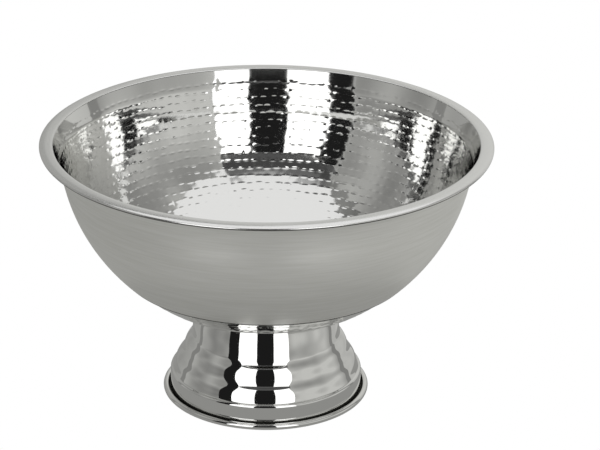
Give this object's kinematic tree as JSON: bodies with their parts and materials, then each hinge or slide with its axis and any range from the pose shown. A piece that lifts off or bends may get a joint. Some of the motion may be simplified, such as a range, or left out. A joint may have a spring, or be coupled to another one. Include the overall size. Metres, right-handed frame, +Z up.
{
  "type": "punch bowl",
  "caption": "Round footed punch bowl with a hammered steel liner, a plain outer shell, a rolled rim and a stepped pedestal foot.",
  "frame": {"origin": "centre of the ring face the foot stands on", "axes": "+Z up along the bowl's axis of revolution; X and Y are equal, because the bowl is round"},
  "size_m": [0.3999, 0.4, 0.24],
  "materials": {
    "polished_steel": "mirror polished stainless steel",
    "brushed_steel": "fine circular satin",
    "plain_steel": "plain, hidden"
  },
  "bodies": {
    "root": {"inner_bowl": "polished_steel", "outer_shell": "brushed_steel", "rim_wire": "plain_steel", "base_plate": "plain_steel", "stud": "plain_steel", "foot": "polished_steel", "foot_wire": "plain_steel", "clamp_washer": "plain_steel", "spring_washer": "plain_steel", "hex_nut": "plain_steel"}
  },
  "joints": []
}
